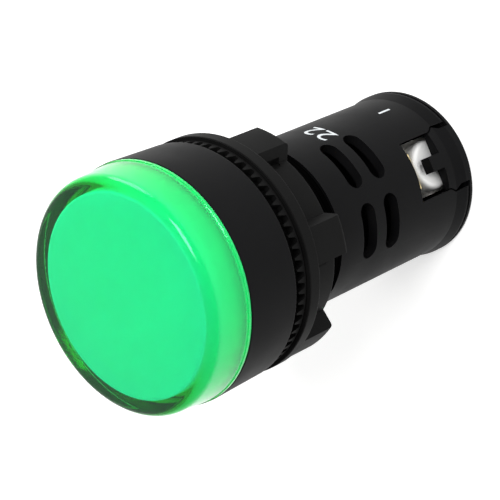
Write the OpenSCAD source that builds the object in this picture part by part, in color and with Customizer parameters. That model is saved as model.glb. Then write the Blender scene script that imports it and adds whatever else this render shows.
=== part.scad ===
// Panel pilot light for a 22 mm panel hole.
// The lamp stands with its lens up. The origin is the centre of the face that the
// panel bears against: the head lies above it, the neck and barrel lie below it.

/* [Head] */
// Outer diameter of the bezel at its lens end
head_d = 28.6; // [27.5:0.1:31]
// Height of the bezel above the panel
head_h = 7.7; // [7:0.1:12]
// How much smaller in radius the bezel is at the panel
bezel_draft = 0.18; // [0:0.02:0.4]
// Width of the bezel's wall around the lens skirt
bezel_wall = 1.45; // [1.2:0.05:1.7]
// Thickness of the bezel's floor, which carries the LED board
bezel_floor = 2; // [1.6:0.1:3]

/* [Lens and diffuser] */
// Height of the lens above the bezel
lens_h = 5.4; // [4:0.1:9]
// How far the foot of the lens stands in from the edge of the bezel
lens_step = 0.15; // [0.05:0.05:0.4]
// How much smaller in radius the lens is at its front
lens_draft = 0.3; // [0.1:0.05:0.6]
// Rounding of the front edge of the lens
lens_round = 0.7; // [0.3:0.05:1.2]
// Thickness of the side of the lens
lens_wall = 2.25; // [1.9:0.05:2.4]
// Thickness of the front of the lens
lens_front = 1.1; // [0.8:0.05:1.8]
// Wall of the white diffuser cup
diffuser_wall = 1; // [0.8:0.1:1.5]

/* [Neck and thread] */
// Diameter of the neck that goes through the panel
neck_d = 22; // [21.6:0.1:22.2]
// Length of plain neck next to the head, where the panel sits
land_l = 2.1; // [1.6:0.1:2.15]
// Depth of the thread below the neck
thread_depth = 0.8; // [0.6:0.02:0.9]
// Distance from the panel face to the end of the thread
thread_end = 10.9; // [10:0.1:13]
// Length of the relief groove behind the thread
relief_l = 1.65; // [1:0.05:2.5]
// Depth of the relief groove below the barrel
relief_depth = 0.35; // [0.2:0.05:0.5]
// Pitch of the thread
thread_pitch = 1.5; // [1:0.25:2]

/* [Barrel] */
// Distance from the panel face to the rear edge of the housing
body_l = 36.9; // [36:0.1:42]
// How much smaller in radius the barrel is than the neck
barrel_step = 0.78; // [0.7:0.02:0.9]
// Wall of the barrel
barrel_wall = 1.3; // [1.1:0.05:1.5]
// How far the rear lip flares out from the barrel
flare_out = 0.32; // [0.2:0.02:0.38]
// Length of the flared lip
flare_l = 2; // [1.4:0.1:2.6]

/* [Vents] */
// Width of each vent slot
vent_w = 2.5; // [2:0.1:3]
// Angle that each vent slot spans
vent_span = 38.5; // [30:0.5:42]
// Angle from the middle of a window to the middle of a slot
vent_turn = 24.75; // [23:0.25:30]
// Distance from the panel face to the middle of the first row
vent_first = 17.9; // [16:0.1:19]
// Distance between the two rows
vent_pitch = 4.27; // [3.6:0.01:5]

/* [Terminal windows] */
// Width of each window in the side of the barrel
window_w = 7.5; // [7.4:0.1:8]
// Length of each window, measured from the rear edge of the housing
window_l = 8.8; // [8.6:0.1:9.6]
// How far the snap notches widen the window on each side
notch_depth = 0.55; // [0.35:0.05:0.7]

/* [Rear cover] */
// Thickness of the cover's disc
cover_t = 1; // [0.8:0.1:1.6]
// Width of the shadow gap between the housing and the disc
seam_w = 0.35; // [0.2:0.05:0.5]
// Length of the wide part of each tab
tab_l = 3.4; // [3.2:0.1:3.8]
// Width of the finger that covers the middle of the screw
finger_w = 1.9; // [1.5:0.1:2.6]
// Length of the finger
finger_l = 2.2; // [1.6:0.1:2.8]
// Thickness of a tab at its middle
tab_t = 1.37; // [1.2:0.01:1.4]
// Gap between a tab and the side of its window
tab_gap = 0.15; // [0.1:0.01:0.2]

/* [Gasket, washer and nut] */
// Thickness of the rubber gasket
gasket_t = 1; // [0.8:0.05:1.3]
// Width of the rubber gasket's ring
gasket_w = 1.45; // [1:0.05:1.6]
// Thickness of the washer's flat ring
washer_t = 1.15; // [0.8:0.05:1.5]
// Width of the rim that carries the teeth
tooth_w = 0.85; // [0.6:0.05:1.1]
// Number of teeth on the washer
tooth_count = 66; // [48:6:72]
// Height of a tooth
tooth_h = 1.07; // [0.8:0.01:1.1]
// How far the teeth reach past the flat ring
tooth_lead = 0.32; // [0.2:0.02:0.36]
// How far the nut's flange stands in from the edge of the bezel
flange_step = 0.15; // [0.05:0.05:0.6]
// Thickness of the nut's flange
flange_t = 1.75; // [1.4:0.05:2.4]
// Wall of the nut's hub
hub_wall = 0.9; // [0.7:0.05:1.2]
// Height of the whole nut
nut_h = 7; // [6:0.1:7.4]
// How far the lugs stand in from the edge of the flange
lug_step = 0.15; // [0.05:0.05:0.5]
// Number of lugs
lug_count = 6; // [4:1:8]
// Width of a lug at its outer end
lug_w = 4.4; // [3.6:0.1:5]
// How much wider a lug is at its foot
lug_draft = 0.6; // [0.2:0.05:1]

/* [Terminals] */
// Diameter of the screw's shank
screw_d = 3; // [2.6:0.1:3.4]
// Diameter of the screw's head
head_screw_d = 6.2; // [5.6:0.1:6.4]
// Height of the screw's head
head_screw_h = 2; // [1.6:0.1:2.2]
// How far the screw can be driven down on the wire
clamp_travel = 1.8; // [1.2:0.1:2]
// Thickness of the clamp washer
clamp_t = 0.8; // [0.6:0.05:0.9]
// Thickness of the brass terminal plate
plate_t = 1; // [0.8:0.05:1.1]
// Length of the clamp washer along the barrel
clamp_h = 6.4; // [6:0.1:6.6]

/* [Electronics] */
// Thickness of both circuit boards
board_t = 1.6; // [1:0.1:1.8]
// Height of the LED packages
led_h = 1.9; // [0.8:0.1:2.4]
// Length of the film capacitor
film_l = 9.5; // [8:0.5:10]
// Diameter of the smoothing capacitor
can_d = 6.3; // [5:0.1:6.8]
// Length of the smoothing capacitor
can_l = 9; // [7:0.5:9.5]

/* [Hidden] */
$fn = 96;

// Overshoot of every cut past the face that it opens
over = 1;
// Clearances of pieces that slip together but stay put
slip = 0.1;
// Running clearance, on the radius, of the nut over the crests of the thread
nut_play = 0.05;
// Clearance, on the radius, of the washer on the neck
washer_play = 0.3;

// Radii along the body
head_r = head_d / 2;
seat_r = head_r - bezel_draft;
neck_r = neck_d / 2;
root_r = neck_r - thread_depth;
barrel_r = neck_r - barrel_step;
flare_r = barrel_r + flare_out;
relief_r = barrel_r - relief_depth;
bore_r = barrel_r - barrel_wall;
recess_r = head_r - bezel_wall;
edge_r = 0.3;

// Lens and diffuser
lens_foot_r = head_r - lens_step;
lens_top_r = lens_foot_r - lens_draft;
lens_bore_r = lens_foot_r - lens_wall;
lens_top = head_h + lens_h;
skirt_r = recess_r - slip / 2;
bead = 0.3;
bead_z = head_h - 2.4;
diffuser_r = lens_bore_r - slip;
diffuser_top = lens_top - lens_front;
led_board_r = recess_r - 2 * slip;
led_board_top = bezel_floor + board_t;

// Nut and washer, measured down from the panel face
washer_top = gasket_t;
washer_bottom = washer_top + washer_t;
nut_gap = 0.05;
nut_top = washer_bottom + nut_gap;
nut_bottom = nut_top + nut_h;
nut_bore_r = neck_r + nut_play;
gasket_r = neck_r + nut_play + gasket_w;
tooth_gap_r = 0.35;
rim_r = gasket_r + tooth_gap_r;
washer_r = rim_r + tooth_w;
nut_flange_r = head_r - flange_step;
lug_r = nut_flange_r - lug_step;
hub_r = nut_bore_r + hub_wall;

// Windows, tabs and terminals: side_a faces -Y and side_b faces +Y
window_front = body_l - window_l;
notch_front = body_l - 3.1;
notch_peak = body_l - 2.1;
clamp_gap = 0.2;
screw_z = -(body_l - clamp_gap - clamp_h / 2);
tab_in = barrel_r - tab_t;
head_gap = 0.4;
head_top_y = tab_in - head_gap;
clamp_top_y = head_top_y - head_screw_h;
clamp_bottom_y = clamp_top_y - clamp_t;
plate_top_y = clamp_bottom_y - clamp_travel;
plate_bottom_y = plate_top_y - plate_t;
shank_tip_y = plate_bottom_y - 0.25;
clamp_w = window_w - 0.5;
guide_x = clamp_w / 2 + 0.3;
guide_t = 0.8;
lip_t = 0.8;
lip_gap = 0.4;
lip_front = -screw_z - clamp_h / 2 - lip_gap - lip_t;
block_flange_t = 1.4;
block_front = lip_front - 0.5 - block_flange_t;
block_r = bore_r - slip;
tail_w = 2;
tail_front = block_front - 1.5;

// Boards
board_top_z = bezel_floor - 0.8;
board_half_w = bore_r - 0.75;
board_gap = 0.3;
board_bottom_z = -block_front + board_gap;
rib_reach = 1.9;
rib_t = 0.8;
pin_w = 0.64;
pin_x = 1.27;

// Points of an arc, from angle a0 to angle a1
function arc(cx, cy, r, a0, a1, n = 5) =
    [for (i = [0:n]) let (a = a0 + (a1 - a0) * i / n) [cx + r * cos(a), cy + r * sin(a)]];

// Turns a piece that is drawn for the -Y side to the +Y side
module at_side(b) {
    rotate([0, 0, b ? 180 : 0]) children();
}

// Extrudes an outline drawn in (x, z) along -Y, from distance y0 to y1
module toward_window(y0, y1) {
    translate([0, -y0, 0]) rotate([90, 0, 0]) linear_extrude(y1 - y0) children();
}

// Outline of the outside of the barrel behind the relief groove, in (radius, z)
function barrel_side(grow = 0) = [
    [barrel_r + grow, -thread_end - relief_l],
    [barrel_r + grow, -body_l + flare_l],
    [flare_r + grow, -body_l + 0.3],
    [flare_r + grow, -body_l]
];

// ---- Lens: one clear moulding that snaps into the bezel by its skirt
module lens() {
    color([0.1, 0.85, 0.45, 0.6]) rotate_extrude() polygon(concat(
        [[0, lens_top], [0, diffuser_top], [lens_bore_r, diffuser_top]],
        [[lens_bore_r, led_board_top], [skirt_r, led_board_top]],
        [[skirt_r, bead_z - 2 * bead], [skirt_r + bead, bead_z - bead], [skirt_r, bead_z]],
        [[skirt_r, head_h], [lens_foot_r, head_h]],
        arc(lens_top_r - lens_round, lens_top - lens_round, lens_round, 0, 90)
    ));
}

// ---- Diffuser: a thin white cup over the LEDs, close behind the lens
module diffuser() {
    inner_r = diffuser_r - diffuser_wall;
    color("white") rotate_extrude() polygon([
        [0, diffuser_top], [0, diffuser_top - diffuser_wall],
        [inner_r, diffuser_top - diffuser_wall], [inner_r, led_board_top],
        [diffuser_r, led_board_top], [diffuser_r, diffuser_top]
    ]);
}

// ---- Housing: bezel, threaded neck and vented barrel in one moulding
module housing_shell() {
    rotate_extrude() polygon(concat(
        [[bore_r, bezel_floor], [recess_r, bezel_floor]],
        [[recess_r, bead_z - 2 * bead], [recess_r + bead, bead_z - bead], [recess_r, bead_z]],
        [[recess_r, head_h]],
        arc(head_r - edge_r / 2, head_h - edge_r / 2, edge_r / 2, 90, 0, 3),
        arc(seat_r - edge_r, edge_r, edge_r, 0, -90, 4),
        [[neck_r, 0], [neck_r, -land_l], [root_r, -land_l], [root_r, -thread_end]],
        [[relief_r, -thread_end], [relief_r, -thread_end - relief_l]],
        barrel_side(),
        [[bore_r, -body_l]]
    ));
}

// A slot with round ends, cut straight through the wall of the barrel
module vent_slot() {
    half = barrel_r * sin(vent_span / 2) - vent_w / 2;
    toward_window(bore_r - 2 * over, barrel_r + over) {
        square([2 * half, vent_w], center = true);
        for (s = [-1, 1]) translate([s * half, 0]) circle(d = vent_w);
    }
}

// The window is open to the rear, and widens where the barbs of the cover snap in
module window_cut() {
    w = window_w / 2;
    n = w + notch_depth;
    lip = n - 0.08;
    toward_window(bore_r - 3 * over, flare_r + over) polygon([
        [-w, -window_front], [-w, -notch_front], [-n, -notch_peak],
        [-lip, -notch_peak - 0.8], [-lip, -body_l - over],
        [lip, -body_l - over], [lip, -notch_peak - 0.8],
        [n, -notch_peak], [w, -notch_front], [w, -window_front]
    ]);
}

// Two pairs of ribs inside the bore hold the long edges of the power board
module board_guides() {
    rib_l = block_front + board_top_z - 2.2;
    intersection() {
        for (x = [-1, 1], y = [-1, 1])
            translate([x * (bore_r - rib_reach / 2 + 0.2), y * (board_t + rib_t + slip) / 2, -block_front])
                translate([-rib_reach / 2, -rib_t / 2, 0]) cube([rib_reach, rib_t, rib_l]);
        translate([0, 0, -block_front - over])
            cylinder(r = bore_r + barrel_wall / 2, h = rib_l + 2 * over);
    }
}

module housing() {
    color([0.16, 0.16, 0.17]) {
        difference() {
            housing_shell();
            for (b = [0, 1]) at_side(b) {
                window_cut();
                for (row = [0, 1], s = [-1, 1])
                    rotate([0, 0, s * vent_turn])
                        translate([0, 0, -vent_first - row * vent_pitch]) vent_slot();
            }
        }
        board_guides();
    }
}

// ---- Gasket: a flat rubber ring under the head
module panel_gasket() {
    color([0.08, 0.08, 0.08]) translate([0, 0, -gasket_t]) difference() {
        cylinder(r = gasket_r, h = gasket_t);
        translate([0, 0, -over]) cylinder(r = neck_r + nut_play, h = gasket_t + 2 * over);
    }
}

// ---- Toothed washer: a flat ring whose rim is cut into crown teeth that bite the panel
module tooth_gap() {
    pitch = 2 * PI * washer_r / tooth_count;
    top = tooth_lead + over;
    floor_z = tooth_lead - tooth_h;
    polygon([
        [-0.42 * pitch, top], [-0.42 * pitch, tooth_lead], [-0.29 * pitch, floor_z + 0.4 * tooth_h],
        [-0.22 * pitch, floor_z + 0.1 * tooth_h], [-0.12 * pitch, floor_z],
        [0.12 * pitch, floor_z], [0.22 * pitch, floor_z + 0.1 * tooth_h],
        [0.29 * pitch, floor_z + 0.4 * tooth_h], [0.42 * pitch, tooth_lead], [0.42 * pitch, top]
    ]);
}

module toothed_washer() {
    r = washer_r;
    color([0.2, 0.2, 0.21]) difference() {
        rotate_extrude() polygon([
            [neck_r + washer_play, -washer_top], [rim_r, -washer_top],
            [rim_r, -washer_top + tooth_lead], [r, -washer_top + tooth_lead],
            [r, -washer_bottom + 0.15], [r - 0.15, -washer_bottom],
            [neck_r + washer_play, -washer_bottom]
        ]);
        for (i = [0:tooth_count - 1]) rotate([0, 0, 360 * i / tooth_count])
            translate([0, 0, -washer_top]) toward_window(rim_r - 0.1, r + over) tooth_gap();
    }
}

// ---- Lock nut: flange, hub and six lugs for the fingers
function lug_angle(i) = 360 * (i + 0.5) / lug_count + 18.25;

module nut_body() {
    fillet = 0.5;
    edge = 0.25;
    rotate_extrude() polygon(concat(
        [[nut_bore_r, -nut_bottom], [nut_bore_r, -nut_top]],
        arc(nut_flange_r - edge / 2, -nut_top - edge / 2, edge / 2, 90, 0, 2),
        arc(nut_flange_r - edge, -nut_top - flange_t + edge, edge, 0, -90, 4),
        arc(hub_r + fillet, -nut_top - flange_t - fillet, fillet, 90, 180, 4),
        arc(hub_r - edge, -nut_bottom + edge, edge, 0, -90, 3)
    ));
}

// Outline of one lug in (x, distance from the axis): its sides lean out to the foot
module lug_outline() {
    foot = hub_r - 0.5;
    polygon([
        [-lug_w / 2 - lug_draft / 2, foot], [lug_w / 2 + lug_draft / 2, foot],
        [lug_w / 2, lug_r - 0.3], [lug_w / 2 - 0.3, lug_r + over],
        [-lug_w / 2 + 0.3, lug_r + over], [-lug_w / 2, lug_r - 0.3]
    ]);
}

module nut_lugs() {
    edge = 0.5;
    intersection() {
        for (i = [0:lug_count - 1]) rotate([0, 0, lug_angle(i)])
            translate([0, 0, -nut_bottom - over]) linear_extrude(nut_h) lug_outline();
        rotate_extrude() polygon(concat(
            [[nut_bore_r + 0.4, -nut_bottom], [nut_bore_r + 0.4, -nut_top - flange_t / 2]],
            [[lug_r, -nut_top - flange_t / 2]],
            arc(lug_r - edge, -nut_bottom + edge, edge, 0, -90, 4)
        ));
    }
}

// A round-ended hollow at the foot of one wall of each lug
module lug_scoop() {
    scoop_l = 2.4;
    scoop_w = 1.1;
    lug_h = nut_h - flange_t;
    wall_x = lug_w / 2 + lug_draft / 2;
    translate([wall_x, hub_r - 0.4, -nut_bottom + lug_h / 2]) rotate([-90, 0, 0])
        linear_extrude(0.9) {
            square([scoop_w, scoop_l - scoop_w], center = true);
            for (s = [-1, 1]) translate([0, s * (scoop_l - scoop_w) / 2]) circle(d = scoop_w, $fn = 24);
        }
}

module lock_nut() {
    color([0.2, 0.2, 0.21]) difference() {
        union() {
            nut_body();
            nut_lugs();
        }
        for (i = [0:lug_count - 1]) rotate([0, 0, lug_angle(i)]) lug_scoop();
    }
}

// ---- Rear cover: a disc with two T-shaped tabs that close the windows
module tab_outline() {
    w = window_w / 2 - tab_gap;
    barb = notch_depth - tab_gap / 3;
    front = -body_l + tab_l;
    f = finger_w / 2;
    polygon([
        [-f, front + finger_l], [f, front + finger_l], [f, front], [w, front],
        [w, -notch_front - 0.1], [w + barb, -notch_peak], [w, -notch_peak - 0.9], [w, -body_l - seam_w],
        [-w, -body_l - seam_w], [-w, -notch_peak - 0.9], [-w - barb, -notch_peak],
        [-w, -notch_front - 0.1], [-w, front], [-f, front]
    ]);
}

module cover_tab() {
    intersection() {
        toward_window(tab_in, flare_r + over) tab_outline();
        rotate_extrude() polygon(concat(
            [[tab_in - over, -body_l - seam_w - over], [tab_in - over, -thread_end - relief_l]],
            barrel_side(),
            [[flare_r, -body_l - seam_w - over]]
        ));
    }
}

module rear_cover() {
    disc_z = -body_l - cover_t;
    land_r = barrel_r - 0.25;
    spigot_r = bore_r - slip;
    color([0.17, 0.17, 0.18]) {
        rotate_extrude() polygon(concat(
            [[0, disc_z], [0, -body_l], [land_r, -body_l], [land_r, -body_l - seam_w]],
            [[flare_r, -body_l - seam_w]],
            arc(flare_r - edge_r, disc_z + edge_r, edge_r, 0, -90, 4)
        ));
        for (side = [0, 180]) rotate([0, 0, side - 25]) rotate_extrude(angle = 50)
            translate([spigot_r - 0.9, -body_l - 0.1]) square([0.9, 1]);
        for (b = [0, 1]) at_side(b) cover_tab();
    }
}

// ---- Terminal block: insulating carrier with a barrier between the two terminals
module terminal_block() {
    half_x = guide_x + guide_t;
    rear = body_l - 0.15;
    guide_y = clamp_bottom_y + clamp_t;
    color([0.12, 0.12, 0.13]) difference() {
        union() {
            translate([0, 0, -block_front - block_flange_t]) cylinder(r = block_r, h = block_flange_t);
            translate([-half_x, -plate_bottom_y, -rear])
                cube([2 * half_x, 2 * plate_bottom_y, rear - block_front - block_flange_t / 2]);
            for (x = [-1, 1]) translate([x * (guide_x + guide_t / 2), 0, -rear])
                translate([-guide_t / 2, -guide_y, 0])
                    cube([guide_t, 2 * guide_y, rear - block_front - block_flange_t / 2]);
        }
        for (b = [0, 1]) at_side(b) {
            translate([0, 0, screw_z]) toward_window(0.5, plate_bottom_y + over)
                circle(r = screw_d / 2 + washer_play);
            translate([-tail_w / 2 - slip, -plate_top_y - slip, -block_front - 2 * block_flange_t])
                cube([tail_w + 2 * slip, plate_t + slip, 3 * block_flange_t]);
        }
    }
}

// ---- Terminal plate: brass, with an upturned lip and a tail through the block
module terminal_plate() {
    w = 6;
    rear = body_l - 0.4;
    lip_top = head_top_y + 0.15;
    color([0.85, 0.68, 0.3]) difference() {
        union() {
            translate([-w / 2, -plate_top_y, -rear]) cube([w, plate_t, rear - lip_front]);
            translate([-tail_w / 2, -plate_top_y, -lip_front - lip_t])
                cube([tail_w, plate_t, lip_front + lip_t - tail_front]);
            translate([0, 0, -lip_front - lip_t]) linear_extrude(lip_t) polygon([
                [-w / 2, -plate_bottom_y], [w / 2, -plate_bottom_y], [w / 2 - 0.2, -lip_top + 0.6],
                [w / 2 - 0.8, -lip_top], [-w / 2 + 0.8, -lip_top], [-w / 2 + 0.2, -lip_top + 0.6]
            ]);
        }
        translate([0, 0, screw_z]) toward_window(plate_bottom_y - over, plate_top_y + over)
            circle(r = screw_d / 2 + slip);
    }
}

// ---- Clamp washer: square, kept from turning by the guides of the block
module clamp_washer() {
    color([0.75, 0.75, 0.72]) difference() {
        translate([0, 0, screw_z]) toward_window(clamp_bottom_y, clamp_top_y) polygon([
            [-clamp_w / 2 + 0.5, -clamp_h / 2], [clamp_w / 2 - 0.5, -clamp_h / 2],
            [clamp_w / 2, -clamp_h / 2 + 0.5], [clamp_w / 2, clamp_h / 2 - 0.5],
            [clamp_w / 2 - 0.5, clamp_h / 2], [-clamp_w / 2 + 0.5, clamp_h / 2],
            [-clamp_w / 2, clamp_h / 2 - 0.5], [-clamp_w / 2, -clamp_h / 2 + 0.5]
        ]);
        translate([0, 0, screw_z]) toward_window(clamp_bottom_y - over, clamp_top_y + over)
            circle(r = screw_d / 2 + slip);
    }
}

// ---- Terminal screw: pan head with a slot
module terminal_screw() {
    r = head_screw_d / 2;
    h = head_screw_h;
    round_r = 0.3 * h;
    color([0.85, 0.85, 0.83]) translate([0, 0, screw_z]) rotate([90, 0, 0]) difference() {
        rotate_extrude() polygon(concat(
            [[0, head_top_y], [0, shank_tip_y], [screw_d / 2 - 0.3, shank_tip_y]],
            [[screw_d / 2, shank_tip_y + 0.3], [screw_d / 2, clamp_top_y], [r, clamp_top_y]],
            arc(r - round_r, head_top_y - round_r, round_r, 0, 90)
        ));
        translate([0, 0, head_top_y]) cube([0.8, 4.4, 0.55 * h], center = true);
    }
}

// ---- LED board: round, on the floor of the bezel
module led_board() {
    color([0.9, 0.9, 0.88]) translate([0, 0, bezel_floor]) difference() {
        cylinder(r = led_board_r, h = board_t);
        for (x = [-pin_x, pin_x]) translate([x, board_t / 2 + pin_w / 2, 0])
            cube([pin_w + slip, pin_w + slip, 4 * board_t], center = true);
    }
}

// One LED package with its round window
module led_chip() {
    translate([-1.75, -1.4, 0]) cube([3.5, 2.8, led_h * 0.7]);
    translate([0, 0, led_h * 0.5]) cylinder(r = 1.2, h = led_h * 0.5);
}

// LED packages: four around the board and one in the middle
module led_chips() {
    ring_r = 5.6;
    color([0.95, 0.9, 0.5]) translate([0, 0, led_board_top]) {
        for (a = [45:90:315]) rotate([0, 0, a]) translate([ring_r, 0, 0]) led_chip();
        translate([0, -1.8, 0]) led_chip();
    }
}

// Two square pins join the boards
module board_pins() {
    pin_l = board_t + 4.2;
    color([0.85, 0.75, 0.4]) for (x = [-pin_x, pin_x])
        translate([x - pin_w / 2, board_t / 2, led_board_top + 0.6 - pin_l])
            cube([pin_w, pin_w, pin_l]);
}

// ---- Power board: stands along the barrel between its guides
module power_board() {
    color([0.1, 0.35, 0.2]) translate([-board_half_w, -board_t / 2, board_bottom_z])
        cube([2 * board_half_w, board_t, board_top_z - board_bottom_z]);
}

module film_capacitor() {
    w = 10.4;
    t = 5.6;
    color([0.75, 0.2, 0.1]) translate([-w / 2, board_t / 2, board_top_z - 2.8 - film_l]) cube([w, t, film_l]);
}

module smoothing_capacitor() {
    r = can_d / 2;
    color([0.1, 0.12, 0.3]) translate([0, -board_t / 2 - r - nut_play, board_top_z - 3.2]) rotate([180, 0, 0])
        rotate_extrude() polygon([
            [0, 0], [r - 0.3, 0], [r, 0.3], [r, can_l - 1.8], [r - 0.35, can_l - 1.4],
            [r, can_l - 1], [r, can_l - 0.3], [r - 0.3, can_l], [0, can_l]
        ]);
}

module bridge_rectifier() {
    color([0.1, 0.1, 0.1]) translate([-3.2, board_t / 2, board_bottom_z + 6.5]) {
        translate([0, 0.4, 0]) cube([6.4, 2.6, 4.8]);
        for (x = [0.7, 5.1], z = [-0.6, 4.4]) translate([x, 0, z]) cube([0.6, 1.6, 1]);
    }
}

module resistors() {
    body_r = 1.2;
    reach = 4.6;
    color([0.8, 0.7, 0.5]) for (z = [board_bottom_z + 6.9, board_bottom_z + 10.5])
        translate([0, -board_t / 2 - body_r - 0.3, z]) {
            rotate([0, 90, 0]) rotate_extrude() polygon([
                [0, -3.2], [0.9, -3.2], [body_r, -2.9], [body_r, -1.9], [1, -1.6],
                [1, 1.6], [body_r, 1.9], [body_r, 2.9], [0.9, 3.2], [0, 3.2]
            ]);
            for (s = [-1, 1]) {
                translate([s * (reach + 3) / 2, 0, 0]) rotate([0, 90, 0])
                    cylinder(r = 0.3, h = reach - 3 + 0.6, center = true);
                translate([s * reach, 0.15, 0]) cube([0.6, body_r * 2 + 0.3, 0.6], center = true);
            }
        }
}

// ---- Lead: an insulated wire from the terminal's tail down to the power board
module lead() {
    r = 0.7;
    bend = 1.6;
    y = (plate_top_y + plate_bottom_y) / 2;
    straight = 2.2;
    z0 = -tail_front;
    color([0.75, 0.1, 0.1]) {
        translate([0, -y, z0]) cylinder(r = r, h = straight);
        translate([0, -y + bend, z0 + straight]) rotate([90, 0, -90])
            rotate_extrude(angle = 90) translate([bend, 0]) circle(r = r);
        translate([0, -y + bend, z0 + straight + bend]) rotate([-90, 0, 0])
            cylinder(r = r, h = y - bend - board_t / 2);
    }
}

lens();
diffuser();
housing();
panel_gasket();
toothed_washer();
lock_nut();
rear_cover();
terminal_block();
at_side(0) terminal_plate();  // terminal_plate_a
at_side(1) terminal_plate();  // terminal_plate_b
at_side(0) clamp_washer();  // clamp_washer_a
at_side(1) clamp_washer();  // clamp_washer_b
at_side(0) terminal_screw();  // terminal_screw_a
at_side(1) terminal_screw();  // terminal_screw_b
led_board();
led_chips();
board_pins();
power_board();
film_capacitor();
smoothing_capacitor();
bridge_rectifier();
resistors();
at_side(0) lead();  // lead_a
at_side(1) lead();  // lead_b
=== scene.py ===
# %% [markdown]
# # A panel pilot light
# This script dresses the solid model of a green indicator lamp for a 22 mm panel hole.
# The solids come in as a fixed frame. Here they get their materials, and the pieces whose
# surface is too fine for a plain solid are built anew: the clear lens, the white diffuser
# and the thread of the neck. Everything is in metres, with the lens facing up.

# %%
import math
import bmesh
import bpy
from mathutils import Matrix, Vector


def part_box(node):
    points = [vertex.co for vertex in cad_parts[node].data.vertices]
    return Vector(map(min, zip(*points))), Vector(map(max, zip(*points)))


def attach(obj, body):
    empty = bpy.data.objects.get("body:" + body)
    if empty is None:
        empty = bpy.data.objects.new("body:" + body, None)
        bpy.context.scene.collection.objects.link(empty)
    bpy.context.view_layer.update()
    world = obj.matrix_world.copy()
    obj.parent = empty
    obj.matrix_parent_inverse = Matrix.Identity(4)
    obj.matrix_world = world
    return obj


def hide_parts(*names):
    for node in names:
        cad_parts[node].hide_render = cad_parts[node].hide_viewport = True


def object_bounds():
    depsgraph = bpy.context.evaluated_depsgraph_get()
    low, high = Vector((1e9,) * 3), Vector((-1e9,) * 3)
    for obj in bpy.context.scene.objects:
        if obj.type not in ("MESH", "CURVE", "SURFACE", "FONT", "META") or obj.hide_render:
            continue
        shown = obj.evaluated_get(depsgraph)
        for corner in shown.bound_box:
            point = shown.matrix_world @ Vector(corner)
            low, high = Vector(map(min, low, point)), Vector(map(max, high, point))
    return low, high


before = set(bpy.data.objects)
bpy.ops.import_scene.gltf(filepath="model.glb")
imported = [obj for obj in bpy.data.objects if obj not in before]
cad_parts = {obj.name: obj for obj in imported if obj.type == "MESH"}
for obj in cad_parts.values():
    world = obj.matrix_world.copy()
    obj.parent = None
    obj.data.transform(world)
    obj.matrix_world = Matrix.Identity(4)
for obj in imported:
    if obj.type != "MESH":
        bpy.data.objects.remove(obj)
cad_lo, cad_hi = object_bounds()
mm = 0.001
print("box in mm:", [round((b - a) / mm, 1) for a, b in zip(cad_lo, cad_hi)])

# %% [markdown]
# ## Helpers
# Colours are written as sRGB hex values, and one function turns them to linear light.
# A second helper adds one node, sets its sockets and joins what is handed to it, and a
# third spreads a value over a new range.

# %%
def colour(hex_code):
    parts = [int(hex_code[i:i + 2], 16) / 255 for i in (1, 3, 5)]
    return tuple(c / 12.92 if c <= 0.04045 else ((c + 0.055) / 1.055) ** 2.4 for c in parts) + (1.0,)


def add(mat, kind, settings=None, **sockets):
    node = mat.node_tree.nodes.new(kind)
    for name, value in (settings or {}).items():
        setattr(node, name, value)
    for name, value in sockets.items():
        socket = node.inputs[name.replace("_", " ")]
        if isinstance(value, bpy.types.NodeSocket):
            mat.node_tree.links.new(value, socket)
        else:
            socket.default_value = value
    return node


def ranged(owner, value, low, high, start=0.0, end=1.0):
    node = add(owner, "ShaderNodeMapRange", Value=value)
    node.inputs["From Min"].default_value = start
    node.inputs["From Max"].default_value = end
    node.inputs["To Min"].default_value = low
    node.inputs["To Max"].default_value = high
    return node.outputs["Result"]


def surface(name, hex_code, roughness, metallic=0.0, ior=1.5, specular=0.5):
    mat = bpy.data.materials.new(name)
    mat.use_nodes = True
    shader = mat.node_tree.nodes["Principled BSDF"]
    shader.inputs["Base Color"].default_value = colour(hex_code)
    shader.inputs["Roughness"].default_value = roughness
    shader.inputs["Metallic"].default_value = metallic
    shader.inputs["IOR"].default_value = ior
    shader.inputs["Specular IOR Level"].default_value = specular
    return mat, shader


# %% [markdown]
# A moulded or stamped surface is never quite even. This helper gives a shader a fine grain
# of a real width, a slow change of gloss, and edges that are rounded by a real radius.

# %%
def finish_surface(mat, shader, grain_mm, grain_depth_mm, edge_mm, rough_lo, rough_hi, tones=None):
    links = mat.node_tree.links
    place = add(mat, "ShaderNodeTexCoord").outputs["Object"]
    grain = add(mat, "ShaderNodeTexNoise", Vector=place, Scale=1 / (grain_mm * mm), Detail=2.0)
    patches = add(mat, "ShaderNodeTexNoise", Vector=place, Scale=1 / (6 * mm), Detail=3.0)
    edge = add(mat, "ShaderNodeBevel", {"samples": 4}, Radius=edge_mm * mm)
    bump = add(mat, "ShaderNodeBump", Height=grain.outputs["Fac"], Distance=grain_depth_mm * mm,
               Strength=0.6, Normal=edge.outputs["Normal"])
    links.new(bump.outputs["Normal"], shader.inputs["Normal"])
    gloss = ranged(mat, patches.outputs["Fac"], rough_lo, rough_hi, 0.3, 0.7)
    links.new(gloss, shader.inputs["Roughness"])
    if tones:
        ramp = add(mat, "ShaderNodeValToRGB", Fac=patches.outputs["Fac"])
        ramp.color_ramp.elements[0].color = colour(tones[0])
        ramp.color_ramp.elements[1].color = colour(tones[1])
        ramp.color_ramp.elements[0].position = 0.3
        ramp.color_ramp.elements[1].position = 0.7
        links.new(ramp.outputs["Color"], shader.inputs["Base Color"])
    return mat


# %% [markdown]
# ## Materials
# Black nylon, moulded in a spark-eroded tool: a soft, even sheen and bright grazing rims.

# %%
nylon, s = surface("black_nylon", "#0d0d0e", 0.47, ior=1.5, specular=0.04)
finish_surface(nylon, s, 0.12, 0.006, 0.10, 0.42, 0.52, ("#0b0b0c", "#101011"))

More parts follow.
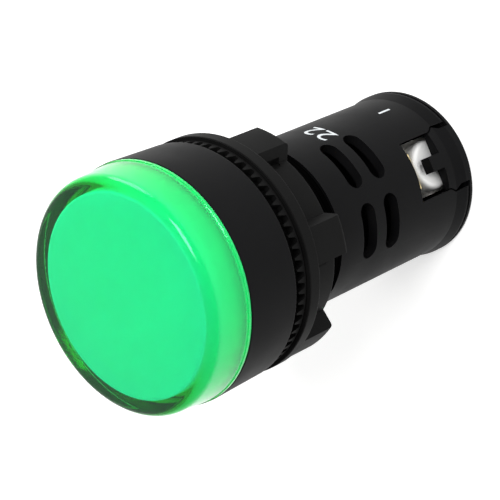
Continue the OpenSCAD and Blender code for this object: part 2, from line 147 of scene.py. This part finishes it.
# The thread and its groove are coloured a darker, matt black: painted shade for the recess between the
# nut and the barrel.
nylon_painted_shade, s = surface("black_nylon_painted_shade", "#040404", 0.85, ior=1.5, specular=0.0)
finish_surface(nylon_painted_shade, s, 0.16, 0.006, 0.05, 0.8, 0.9, ("#030303", "#060606"))

# The nut and the washer are moulded in a slightly duller grade of the same nylon.
nylon_dull, s = surface("black_nylon_dull", "#101010", 0.52, ior=1.5, specular=0.04)
finish_surface(nylon_dull, s, 0.16, 0.008, 0.10, 0.46, 0.58, ("#0e0e0e", "#131313"))

# Nitrile rubber: matt and dark, with a faint bloom.
rubber, s = surface("nitrile_rubber", "#0b0b0b", 0.8, ior=1.52, specular=0.1)
finish_surface(rubber, s, 0.2, 0.01, 0.12, 0.72, 0.88, ("#090909", "#0f0f0f"))

# %% [markdown]
# Polycarbonate, tinted green and polished. The tint sits in the volume, so thin walls are
# light and long ways through an edge are dark. The density is per metre.

# %%
lens_green, s = surface("green_polycarbonate", "#ffffff", 0.02, ior=1.585)
s.inputs["Transmission Weight"].default_value = 1.0
s.inputs["Specular Tint"].default_value = (0.35, 0.95, 0.6, 1.0)
flow = add(lens_green, "ShaderNodeTexNoise", Scale=260.0, Detail=2.0)
swirl = add(lens_green, "ShaderNodeBump", Height=flow.outputs["Fac"], Distance=0.00001, Strength=0.35)
polish = ranged(lens_green, flow.outputs["Fac"], 0.012, 0.03)
lens_green.node_tree.links.new(swirl.outputs["Normal"], s.inputs["Normal"])
lens_green.node_tree.links.new(polish, s.inputs["Roughness"])
tint = add(lens_green, "ShaderNodeVolumeAbsorption", Color=(0.0, 0.99, 0.862, 1.0), Density=2500.0)
out = lens_green.node_tree.nodes["Material Output"]
lens_green.node_tree.links.new(tint.outputs["Volume"], out.inputs["Volume"])

# Milky polycarbonate of the diffuser: light spreads inside it, and a faint emission stands
# for that light. The white board under it has the same.
scattered_tone, scattered_light = "#f4fff6", 0.15
milky, s = surface("milky_polycarbonate", "#f4f6f2", 0.5, ior=1.58, specular=0.3)
finish_surface(milky, s, 0.3, 0.004, 0.15, 0.45, 0.55, ("#eff2ed", "#f7f9f5"))
s.inputs["Emission Color"].default_value = colour(scattered_tone)
s.inputs["Emission Strength"].default_value = scattered_light

# %% [markdown]
# Metals: stamped brass for the terminals and pins, and steel with bright nickel for the
# clamp washers.

# %%
brass, s = surface("stamped_brass", "#e4d3a0", 0.3, metallic=1.0)
finish_surface(brass, s, 0.25, 0.004, 0.08, 0.24, 0.4, ("#dcc88f", "#eadbac"))

nickel, s = surface("nickel_plated_steel", "#e6e4df", 0.3, metallic=1.0)
finish_surface(nickel, s, 0.3, 0.003, 0.10, 0.24, 0.36, ("#dddbd6", "#efede8"))

# The screw heads are zinc plated and a little chalky, so they stay bright from every side.
zinc, s = surface("zinc_plated_steel", "#fbfbfa", 0.5, metallic=0.25)
finish_surface(zinc, s, 0.3, 0.004, 0.15, 0.44, 0.56, ("#f8f8f6", "#ffffff"))

# %% [markdown]
# The electronics inside: solder mask, lacquer, sleeve, epoxy and insulation.

# %%
mask_white, s = surface("white_solder_mask", "#e9ebe6", 0.4)
s.inputs["Emission Color"].default_value = colour(scattered_tone)
s.inputs["Emission Strength"].default_value = scattered_light
finish_surface(mask_white, s, 0.4, 0.004, 0.06, 0.32, 0.45, ("#e4e6e0", "#eeefeb"))
# The power board is coloured black as painted shade, so that the vents into the barrel show dark.
mask_painted_shade, s = surface("black_solder_mask_painted_shade", "#090a09", 0.5, specular=0.06)
finish_surface(mask_painted_shade, s, 0.4, 0.004, 0.06, 0.4, 0.52, ("#070807", "#0c0d0c"))
led_body, s = surface("led_package_white", "#f3efd8", 0.35)
finish_surface(led_body, s, 0.2, 0.003, 0.08, 0.3, 0.45, ("#efe9c8", "#f7f4e4"))
epoxy_red, s = surface("dipped_epoxy_red", "#a63a1e", 0.25)
finish_surface(epoxy_red, s, 0.8, 0.02, 0.5, 0.2, 0.32, ("#9b341a", "#b24424"))
sleeve_blue, s = surface("shrink_sleeve_blue", "#1b2a5c", 0.3)
finish_surface(sleeve_blue, s, 0.5, 0.006, 0.2, 0.25, 0.38, ("#182551", "#203168"))
epoxy_black, s = surface("moulded_epoxy_black", "#1c1c1e", 0.55)
finish_surface(epoxy_black, s, 0.12, 0.006, 0.12, 0.5, 0.62, ("#19191b", "#222224"))
lacquer_tan, s = surface("resistor_lacquer", "#c8ae7d", 0.35)
finish_surface(lacquer_tan, s, 0.4, 0.006, 0.1, 0.3, 0.42, ("#c0a573", "#d0b789"))
pvc_red, s = surface("pvc_insulation_red", "#b0201c", 0.45)
finish_surface(pvc_red, s, 0.3, 0.004, 0.1, 0.4, 0.52, ("#a51c18", "#bb2521"))

looks = {
    "housing": nylon, "rear_cover": nylon, "terminal_block": nylon,
    "toothed_washer": nylon_dull, "lock_nut": nylon_dull, "panel_gasket": rubber,
    "lens": lens_green, "diffuser": milky,
    "terminal_plate_a": brass, "terminal_plate_b": brass, "board_pins": brass,
    "clamp_washer_a": nickel, "clamp_washer_b": nickel,
    "terminal_screw_a": zinc, "terminal_screw_b": zinc,
    "led_board": mask_white, "led_chips": led_body, "power_board": mask_painted_shade,
    "film_capacitor": epoxy_red, "smoothing_capacitor": sleeve_blue,
    "bridge_rectifier": epoxy_black, "resistors": lacquer_tan,
    "lead_a": pvc_red, "lead_b": pvc_red,
}
for name, mat in looks.items():
    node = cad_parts[name]
    node.data.materials.clear()
    node.data.materials.append(mat)
print("materials on", len(looks), "of", len(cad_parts), "solids")

# %% [markdown]
# ## Turned pieces
# The lens and the diffuser are built from their sections, with 240 steps round the axis,
# because a clear piece shows every facet. A section is a closed loop of (radius, height).

# %%
def arc(cx, cz, r, a0, a1, steps=8):
    angles = [math.radians(a0 + (a1 - a0) * i / steps) for i in range(steps + 1)]
    return [(cx + r * math.cos(a), cz + r * math.sin(a)) for a in angles]


def turned(name, section, steps=240, sharp=30):
    verts, faces, rings = [], [], []
    for r, z in section:
        if r < 1e-6:
            rings.append([len(verts)])
            verts.append((0.0, 0.0, z * mm))
        else:
            rings.append(list(range(len(verts), len(verts) + steps)))
            for i in range(steps):
                a = 2 * math.pi * i / steps
                verts.append((r * mm * math.cos(a), r * mm * math.sin(a), z * mm))
    for k, low in enumerate(rings):
        high = rings[(k + 1) % len(rings)]
        if len(low) == 1 and len(high) == 1:
            continue
        for i in range(steps):
            j = (i + 1) % steps
            loop = [low[i % len(low)], low[j % len(low)], high[j % len(high)], high[i % len(high)]]
            faces.append(list(dict.fromkeys(loop)))
    mesh = bpy.data.meshes.new(name)
    mesh.from_pydata(verts, [], faces)
    piece = bpy.data.objects.new(name, mesh)
    bpy.context.collection.objects.link(piece)
    bpy.context.view_layer.objects.active = piece
    piece.select_set(True)
    bpy.ops.object.mode_set(mode="EDIT")
    bpy.ops.mesh.select_all(action="SELECT")
    bpy.ops.mesh.normals_make_consistent(inside=False)
    bpy.ops.object.mode_set(mode="OBJECT")
    mesh.shade_smooth()
    mesh.set_sharp_from_angle(angle=math.radians(sharp))
    piece.select_set(False)
    print(name, "faces:", len(mesh.polygons))
    return piece


# %% [markdown]
# The lens is a cap with a rounded front edge, a thick side, a low lip on the bezel and a
# thinner skirt that catches in it with a bead. The cup of the diffuser is pressed into the
# lens and wets its inner wall, so its skin lies a twentieth of a millimetre inside the clear
# piece and no air shows between them.

# %%
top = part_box("lens")[1][2] / mm
lens_foot, lens_face, lens_bore, seat_z = 14.15, 13.85, 11.9, 7.7
shoulder, front = 1.1, 1.3
skirt_r, bead_z, bead = 12.8, 5.0, 0.3
inner_edge, skin, lip, lip_h = 0.35, 0.05, 0.1, 0.42
board_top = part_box("led_board")[1][2] / mm
skirt_end = board_top - 0.03
ceiling = top - front - skin
lens_piece = turned("lens_cap", [(0, top), (0, ceiling)]
    + arc(lens_bore - inner_edge, ceiling - inner_edge, inner_edge, 90, 0, 5)
    + [(lens_bore, skirt_end), (skirt_r, skirt_end),
       (skirt_r, bead_z - bead), (skirt_r + bead, bead_z), (skirt_r, bead_z + bead), (skirt_r, seat_z),
       (lens_foot + 0.6 * lip, seat_z + 0.3 * lip), (lens_foot + lip, seat_z + 0.8 * lip),
       (lens_foot + lip, seat_z + lip_h), (lens_foot, seat_z + lip_h + lip)]
    + arc(lens_face - shoulder, top - shoulder, shoulder, 0, 90, 10))
lens_piece.data.materials.append(lens_green)
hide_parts("lens")
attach(lens_piece, "lamp")

cup_r = lens_bore + skin
cup_top = top - front
cup_wall, cup_edge = 1.0, 0.3
cup_piece = turned("diffuser_cup", [(0, cup_top), (0, cup_top - cup_wall),
    (cup_r - cup_wall, cup_top - cup_wall), (cup_r - cup_wall, board_top), (cup_r, board_top)]
    + arc(cup_r - cup_edge, cup_top - cup_edge, cup_edge, 0, 90, 6))
cup_piece.data.materials.append(milky)
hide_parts("diffuser")
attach(cup_piece, "lamp")

# %% [markdown]
# ## The thread
# A right-hand thread with 1.5 mm pitch runs from the land to the relief groove. Its crest
# is a narrow flat and its ends fade into the neck. The groove behind it is lined with a thin
# dark skin, which is painted shade, with one low ring where the thread runs out. Thread, skin
# and ring all carry the darker black of painted shade.

# %%
def thread(name, root, crest, z_start, z_end, pitch, steps=120):
    count = int(steps * (z_start - z_end) / pitch)
    verts, faces = [], []
    for i in range(count + 1):
        a = -2 * math.pi * i / steps
        z = z_start - pitch * i / steps
        grow = min(1.0, i / (steps * 0.2), (count - i) / (steps * 0.2))
        r = root + (crest - root) * grow
        for radius, shift in ((root - 0.1, 0.58), (r, 0.1), (r, -0.1), (root - 0.1, -0.58)):
            verts.append((radius * mm * math.cos(a), radius * mm * math.sin(a), (z + shift) * mm))
    for i in range(count):
        b = 4 * i
        for k in range(4):
            n = (k + 1) % 4
            faces.append((b + k, b + n, b + 4 + n, b + 4 + k))
    faces += [(0, 1, 2, 3), tuple(4 * count + k for k in (3, 2, 1, 0))]
    mesh = bpy.data.meshes.new(name)
    mesh.from_pydata(verts, [], faces)
    piece = bpy.data.objects.new(name, mesh)
    bpy.context.collection.objects.link(piece)
    mesh.shade_smooth()
    mesh.set_sharp_from_angle(angle=math.radians(35))
    print(name, "turns:", round(count / steps, 2))
    return piece


thread_root, thread_crest, pitch = 10.2, 10.98, 1.5
thread_piece = thread("neck_thread", thread_root, thread_crest, -2.575, -10.75, pitch)
# The thread is coloured in the darker black of painted shade.
thread_piece.data.materials.append(nylon_painted_shade)
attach(thread_piece, "lamp")

# The thin skin on the groove's floor is a dark sheet of painted shade; the low ring on it is where the
# thread runs out.
shade_skin_in, shade_skin_out, ring_r = 9.8, 9.89, 10.16
groove_front, groove_back = -10.9, -12.52
run_out_shade_skin = turned("thread_run_out_shade_skin", [(shade_skin_in, groove_front), (shade_skin_out, groove_front),
    (shade_skin_out, -11.5), (ring_r, -11.58), (ring_r, -11.66), (shade_skin_out, -11.75),
    (shade_skin_out, groove_back), (shade_skin_in, groove_back)])
run_out_shade_skin.data.materials.append(nylon_painted_shade)
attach(run_out_shade_skin, "lamp")

# %% [markdown]
# ## Printed numbers
# A plain number is printed beside each terminal window, and the panel hole's size on the
# barrel. An outline is laid flat, cut into fine faces and then wrapped onto the barrel, a
# hundredth of a millimetre proud of it.

# %%
print_r = 10.232
longest_edge = 0.15
ink, s = surface("pad_print_white", "#c9cdd0", 0.6, specular=0.2)
finish_surface(ink, s, 0.15, 0.002, 0.01, 0.55, 0.68, ("#bcc1c4", "#d2d6d8"))


def printed(text, angle, z, height, body):
    curve = bpy.data.curves.new("number_" + text, "FONT")
    curve.body = text
    curve.size = height * 1.4 * mm
    curve.extrude = 0.004 * mm
    curve.resolution_u = 6
    curve.align_x = "CENTER"
    flat = bpy.data.objects.new("flat_" + text, curve)
    bpy.context.collection.objects.link(flat)
    bpy.context.view_layer.update()
    mesh = bpy.data.meshes.new_from_object(flat.evaluated_get(bpy.context.evaluated_depsgraph_get()))
    bpy.data.objects.remove(flat)
    cut = bmesh.new()
    cut.from_mesh(mesh)
    bmesh.ops.triangulate(cut, faces=cut.faces[:])
    for _ in range(2):
        long_edges = [e for e in cut.edges if e.calc_length() > longest_edge * mm]
        bmesh.ops.subdivide_edges(cut, edges=long_edges, cuts=1)
        bmesh.ops.triangulate(cut, faces=cut.faces[:])
    cut.to_mesh(mesh)
    cut.free()
    radius = print_r * mm
    for v in mesh.vertices:
        x, y, lift = v.co
        a = math.radians(angle) + x / radius
        r = radius + lift
        v.co = (r * math.cos(a), r * math.sin(a), z * mm + y)
    piece = bpy.data.objects.new("print_" + text, mesh)
    bpy.context.collection.objects.link(piece)
    mesh.materials.clear()
    mesh.materials.append(ink)
    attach(piece, body)
    return piece


printed("22", -33, -21.5, 2.8, "lamp")
printed("1", -38, -32.5, 2.2, "lamp")
printed("2", 142, -32.5, 2.2, "lamp")

# %% [markdown]
# ## Floor, light and camera
# The lamp stands on its rear cover on a pale floor. The light is a large soft box beside
# the lamp with a weaker one near the camera. Floor and world are brighter for the rays that
# show them, which are those of the camera and those that a glossy or clear surface sends
# on, and they add no light to the lamp by that.

# %%
def rays_that_show(owner):
    path = add(owner, "ShaderNodeLightPath")
    total = path.outputs["Is Camera Ray"]
    for kind in ("Is Glossy Ray", "Is Transmission Ray"):
        more = add(owner, "ShaderNodeMath", {"operation": "MAXIMUM"})
        owner.node_tree.links.new(total, more.inputs[0])
        owner.node_tree.links.new(path.outputs[kind], more.inputs[1])
        total = more.outputs["Value"]
    return total


floor_mesh = bpy.data.meshes.new("floor")
half = 3.0  # metres
floor_z = cad_lo[2] - 0.00002
floor_mesh.from_pydata([(-half, -half, floor_z), (half, -half, floor_z), (half, half, floor_z),
                        (-half, half, floor_z)], [], [(0, 1, 2, 3)])
floor = bpy.data.objects.new("floor", floor_mesh)
bpy.context.collection.objects.link(floor)
paper, s = surface("white_paper", "#f6f6f5", 0.9, specular=0.1)
grain = add(paper, "ShaderNodeTexNoise", Scale=900.0, Detail=3.0)
bump = add(paper, "ShaderNodeBump", Height=grain.outputs["Fac"], Distance=0.00002, Strength=0.2)
paper.node_tree.links.new(bump.outputs["Normal"], s.inputs["Normal"])
s.inputs["Emission Color"].default_value = (1, 1, 1, 1)
glow = ranged(paper, rays_that_show(paper), 0.0, 0.45)
paper.node_tree.links.new(glow, s.inputs["Emission Strength"])
floor_mesh.materials.append(paper)

world = bpy.data.worlds.new("studio")
bpy.context.scene.world = world
world.use_nodes = True
background = world.node_tree.nodes["Background"]
level = ranged(world, rays_that_show(world), 0.5, 0.8)
world.node_tree.links.new(level, background.inputs["Strength"])
background.inputs["Color"].default_value = (1, 1, 1, 1)

# %% [markdown]
# The camera has a long lens and looks down at 44 degrees. It is rolled, so that the lamp lies
# across the picture, and the lights are placed by the camera's own up and right.

# %%
cam_at = (0.00718, -0.16629, 0.15227)
cam_right = (-0.37847, -0.65139, -0.65761)
cam_up = (0.92495, -0.23921, -0.29539)
cam_ahead = (-0.03511, 0.72005, -0.69303)
lens_data = bpy.data.cameras.new("camera")
lens_data.lens = 144.0
lens_data.sensor_width = 36.0
lens_data.clip_start = 0.01
lens_data.clip_end = 20.0
camera = bpy.data.objects.new("camera", lens_data)
bpy.context.collection.objects.link(camera)
camera.matrix_world = Matrix([
    (cam_right[0], cam_up[0], -cam_ahead[0], cam_at[0]),
    (cam_right[1], cam_up[1], -cam_ahead[1], cam_at[1]),
    (cam_right[2], cam_up[2], -cam_ahead[2], cam_at[2]),
    (0, 0, 0, 1)])
bpy.context.scene.camera = camera


middle_z = -0.012


def soft_box(name, direction, distance, size, power):
    data = bpy.data.lights.new(name, "AREA")
    data.shape = "DISK"
    data.size = size
    data.energy = power
    lamp = bpy.data.objects.new(name, data)
    bpy.context.collection.objects.link(lamp)
    length = math.sqrt(sum(c * c for c in direction))
    ray = [c / length for c in direction]
    lamp.location = [distance * c for c in ray]
    lamp.location.z += middle_z
    lamp.rotation_euler = lamp.location.to_track_quat("Z", "Y").to_euler()
    return lamp


def from_camera(right, up, back):
    return [right * cam_right[i] + up * cam_up[i] - back * cam_ahead[i] for i in range(3)]


soft_box("key", from_camera(-0.5, 1.0, 0.1), 0.7, 0.5, 4.0)
soft_box("front", from_camera(-0.35, 0.2, 1.0), 0.6, 0.3, 2.8)
bpy.context.scene.view_settings.view_transform = "Standard"
